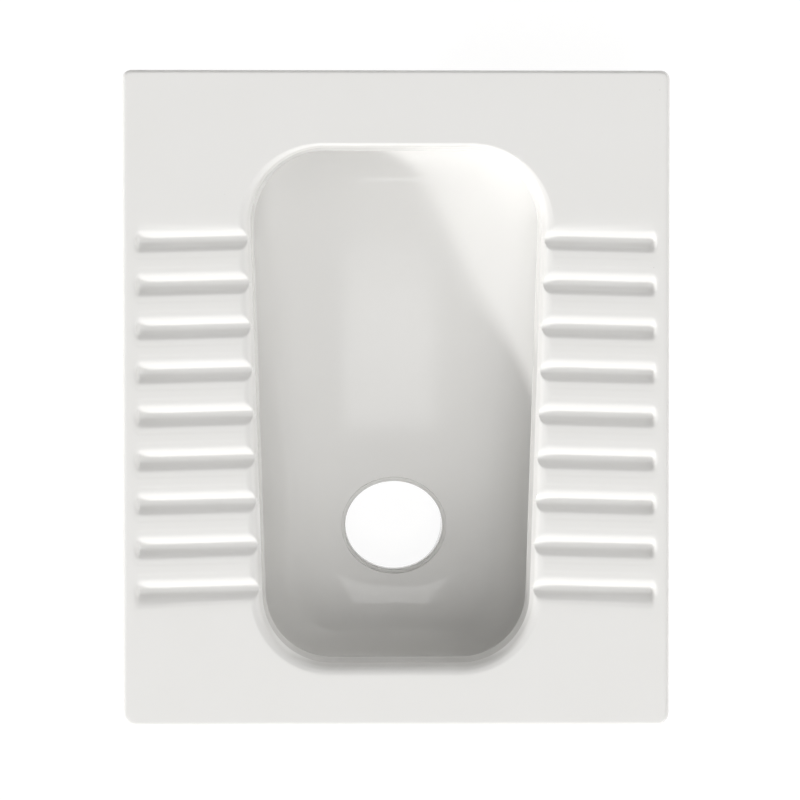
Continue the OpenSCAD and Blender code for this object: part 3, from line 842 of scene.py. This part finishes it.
outside = foot_path(0)
inside = foot_path(FOOT_WALL)
quarter = np.linspace(0, math.pi / 2, FOOT_COVE_STEPS + 1)
flank = [FOOT_COVE * (1 - math.cos(turn)) for turn in quarter]
climb = [FOOT_COVE * (1 - math.sin(turn)) for turn in quarter]
foot_rings = []
for k, (p, q) in enumerate(zip(outside, inside)):
    from_end = min(k, len(outside) - 1 - k)
    squeeze = FOOT_SQUEEZE[min(from_end, len(FOOT_SQUEEZE) - 1)]
    p, q = p + (q - p) * squeeze, q + (p - q) * squeeze
    away = (p - q) / np.linalg.norm(p - q)
    points = [(*(p - away * FOOT_EDGE), 0), (*p, FOOT_EDGE)]
    points += [(*(p + away * f), under_bowl(*(p + away * f)) - c) for f, c in zip(flank, climb)]
    top_p = p + away * flank[-1]
    top_q = q - away * flank[-1]
    points += [(*top_p, under_bowl(*top_p) + FOOT_SINK), (*top_q, under_bowl(*top_q) + FOOT_SINK)]
    points += [(*(q - away * f), under_bowl(*(q - away * f)) - c) for f, c in zip(flank[::-1], climb[::-1])]
    points += [(*q, FOOT_EDGE), (*(q + away * FOOT_EDGE), 0)]
    foot_rings.append(np.array(points))
foot = strip("shallow_end_foot", foot_rings)
finish_mesh(foot)
foot.data.materials.append(biscuit)
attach(foot, "root")
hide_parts("support_foot")

# ---- Flush horn ----
# The flush water enters through a short china horn, left unglazed and luted to the rim at the shallow
# end. Its closed back has a window into the trough, and the skirt is notched for it.

HORN_BORE_R = 0.020
HORN_FLARE = 0.0025                  # cove of slip round the joint with the rim
HORN_END_ROUND = 0.0022              # rounding of the open end, outside
HORN_BORE_EDGE = 0.0015              # rounding of the open end, inside
HORN_BORE_ROUND = 0.003              # rounding at the bottom of the bore
horn_len = horn_hi[1] - horn_lo[1]
horn_profile = fillet(
    [(0, HORN_BACK_WALL), (0, 0), (HORN_R + HORN_FLARE, 0), (HORN_R, HORN_FLARE * 2), (HORN_R, horn_len),
     (HORN_BORE_R, horn_len), (HORN_BORE_R, HORN_BACK_WALL)],
    [0, 0, 0, HORN_FLARE, HORN_END_ROUND, HORN_BORE_EDGE, HORN_BORE_ROUND], steps=5)
horn = turned("flush_horn", horn_profile, (0, horn_lo[1], HORN_Z), "Y", [False] * len(horn_profile))
horn.data.materials.append(glaze)
horn.data.materials.append(biscuit)


def window_tree():
    """Cuts the window through the horn's closed back."""
    tree = bpy.data.node_groups.new("horn_window", "GeometryNodeTree")
    given = sockets(tree, {**window, "Glaze": glaze, "Bare": biscuit})
    cutter = add(tree, "GeometryNodeSetMaterial", {},
                 {"Geometry": window_block(tree, given).outputs[0], "Material": given["Bare"]})
    cut = add(tree, "GeometryNodeMeshBoolean", CUT,
              {"Mesh 1": given["Geometry"], "Mesh 2": cutter.outputs[0]})
    keep_glazed(tree, cut.outputs[0], given)
    return tree


bake_nodes(horn, window_tree(), {"Glaze": glaze, "Bare": biscuit})
finish_mesh(horn)
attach(horn, "root")
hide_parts("inlet_horn")

# ---- Horn grommet ----
# A bush of the same EPDM rubber, pushed into the horn up to its flange. The flush pipe is wetted and
# pressed through its bore, which opens a little at the inner end.

PIPE_R = 0.016
FLANGE_T = 0.003
FLANGE_REACH = 0.005
BORE_OPENS = 0.001                   # the bore gets this much wider at its inner end
BORE_TAPER = 0.002                   # over this length
FLANGE_ROUND = 0.0012
FLANGE_EDGE = 0.0006                 # rounding of the flange's edge on the horn
BUSH_ROUND = 0.001                   # roundings of the inner end, outside and in
BUSH_EDGE = 0.0004
grommet_in = horn_hi[1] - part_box("inlet_grommet")[0][1]
flange = HORN_BORE_R + FLANGE_REACH
grommet_profile = fillet(
    [(PIPE_R, FLANGE_T), (flange, FLANGE_T), (flange, 0), (HORN_BORE_R, 0), (HORN_BORE_R, -grommet_in),
     (PIPE_R + BORE_OPENS, -grommet_in), (PIPE_R, BORE_TAPER - grommet_in)],
    [FLANGE_ROUND, FLANGE_ROUND, FLANGE_EDGE, 0, BUSH_ROUND, BUSH_EDGE, BUSH_ROUND], steps=3)
grommet = turned("horn_grommet", grommet_profile, (0, horn_hi[1], HORN_Z), "Y",
                 [True] * len(grommet_profile))
grommet.data.materials.append(rubber)
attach(grommet, "root")
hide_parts("inlet_grommet")

# ---- Studio ----
# The pan stands on white paper, under broad soft lamps all round and above. Of the lamps, the glaze mirrors
# the key lamp, two panels overhead and a small window. A long lens looks straight down.

PAPER = 6.0                          # half the width of the paper
# To the camera and in the glaze, most of the paper's white is its own, and the rest takes light and shadow.
# Its own white is a little over 1, so that the two together are white.
PAPER_SHARE = 0.86
PAPER_WHITE = 1.08
floor_mesh = bpy.data.meshes.new("studio_floor")
floor_mesh.from_pydata([(-PAPER, -PAPER, 0), (PAPER, -PAPER, 0), (PAPER, PAPER, 0), (-PAPER, PAPER, 0)], [],
                       [(0, 1, 2, 3)])
studio_floor = add_object("studio_floor", floor_mesh)
paper = bpy.data.materials.new("white_paper")
paper.use_nodes = True
tree = paper.node_tree
ray = add(tree, "ShaderNodeLightPath", {}).outputs
seen = add(tree, "ShaderNodeMath", {"operation": "MAXIMUM"},
           {0: ray["Is Camera Ray"], 1: ray["Is Glossy Ray"]})
seen = add(tree, "ShaderNodeMath", {"operation": "MAXIMUM"},
           {0: seen.outputs[0], 1: ray["Is Transmission Ray"]})
share = add(tree, "ShaderNodeMath", {"operation": "MULTIPLY", 1: PAPER_SHARE}, {0: seen.outputs[0]})
white = add(tree, "ShaderNodeEmission", {"Color": (1, 1, 1, 1), "Strength": PAPER_WHITE})
matt = tree.nodes["Principled BSDF"]
matt.inputs["Base Color"].default_value = colour("f4f3f1")
matt.inputs["Roughness"].default_value = 0.9
both = add(tree, "ShaderNodeMixShader", {}, {0: share.outputs[0], 1: matt.outputs[0], 2: white.outputs[0]})
tree.links.new(both.outputs[0], tree.nodes["Material Output"].inputs["Surface"])
floor_mesh.materials.append(paper)

scene = bpy.context.scene
scene.view_settings.view_transform = "Standard"

# The studio is dark behind the lamps. The glaze mirrors it a little lighter, as a dim ceiling
AIR = 0.02
AIR_MIRRORED = 0.1                   # added to that in the glaze
world = bpy.data.worlds.new("studio_air")
scene.world = world
world.use_nodes = True
tree = world.node_tree
ray = add(tree, "ShaderNodeLightPath", {}).outputs
strength = add(tree, "ShaderNodeMath", {"operation": "MULTIPLY_ADD", 1: AIR_MIRRORED, 2: AIR},
               {0: ray["Is Glossy Ray"]})
air = tree.nodes["Background"]
air.inputs["Color"].default_value = colour("ffffff")
tree.links.new(strength.outputs[0], air.inputs["Strength"])

LAMP_DISTANCE = 20.0
LAMP_AIM = Vector((0, 0, TOP))
LOW_RISE = 12
LOW_SIZE = (0.5, 0.3)
SOFT_SIZE = (0.5, 0.375)


def lamp(name, turn, rise, size, light, mirrored=False):
    """A lamp at an angle round the pan and an angle of rise, in degrees. Its size is a share of its
    distance, a light of 1 makes a white sheet that faces it white, and mirrored shows it in the glaze."""
    data = bpy.data.lights.new(name, "AREA")
    data.shape = "RECTANGLE"
    data.size, data.size_y = [side * LAMP_DISTANCE for side in size]
    data.energy = light * (math.pi * LAMP_DISTANCE) ** 2
    piece = bpy.data.objects.new(name, data)
    turn, rise = math.radians(turn), math.radians(rise)
    away = Vector((math.cos(rise) * math.cos(turn), math.cos(rise) * math.sin(turn), math.sin(rise)))
    piece.location = LAMP_AIM + away * LAMP_DISTANCE
    piece.rotation_euler = away.to_track_quat("Z", "Y").to_euler()
    piece.visible_camera = False
    piece.visible_glossy = mirrored
    scene.collection.objects.link(piece)


# The key lamp stands low, to the lower left of the picture, and draws the shadow's edge across the bowl
lamp("key", 234, 16.2, (0.09, 0.034), 0.46, True)
lamp("ceiling_strip", 272.6, 63.2, (0.076, 0.052), 0.0025, True)
lamp("ceiling_panel", 86.7, 66.5, (0.2, 0.27), 0.028, True)
lamp("small_window", 315, 18, (0.015, 0.015), 0.0015, True)
for turn, light in ((0, 0.29), (45, 0.08), (135, 0.04), (180, 0.27), (225, 0.22)):
    lamp(f"low_{turn}", turn, LOW_RISE, LOW_SIZE, light)
for turn, rise, light in ((0, 30, 0.085), (45, 30, 0.055), (45, 50, 0.06), (225, 30, 0.10),
                          (270, 30, 0.10), (270, 50, 0.17), (315, 50, 0.055), (135, 50, 0.03),
                          (270, 72, 0.325)):
    lamp(f"soft_{turn}_{rise}", turn, rise, SOFT_SIZE, light)

VIEW_W = 0.7313                      # width that the picture shows at the height of the plate
DISTANCE = 3.0
SENSOR_W = 36
PHOTO_PX = 800
PLATE_MIDDLE_PX = (396.4, 398.6)     # where the middle of the plate lies in the picture
LENS_LEAN = (math.radians(-1.0), math.radians(1.0))   # off plumb, across and along the pan
camera_data = bpy.data.cameras.new("camera")
camera_data.sensor_width = SENSOR_W
camera_data.lens = DISTANCE * SENSOR_W / VIEW_W
camera_data.clip_end = 100
camera = bpy.data.objects.new("camera", camera_data)
scene.collection.objects.link(camera)
aim = Vector(((PHOTO_PX / 2 - PLATE_MIDDLE_PX[0]) * VIEW_W / PHOTO_PX,
              (PLATE_MIDDLE_PX[1] - PHOTO_PX / 2) * VIEW_W / PHOTO_PX, TOP))
away = Vector((math.tan(LENS_LEAN[0]), math.tan(LENS_LEAN[1]), 1)).normalized()
camera.location = aim + away * DISTANCE
camera.rotation_euler = (Matrix.Rotation(math.atan2(-away.y, away.z), 3, "X")
                         @ Matrix.Rotation(math.asin(away.x), 3, "Y")).to_euler()
scene.camera = camera
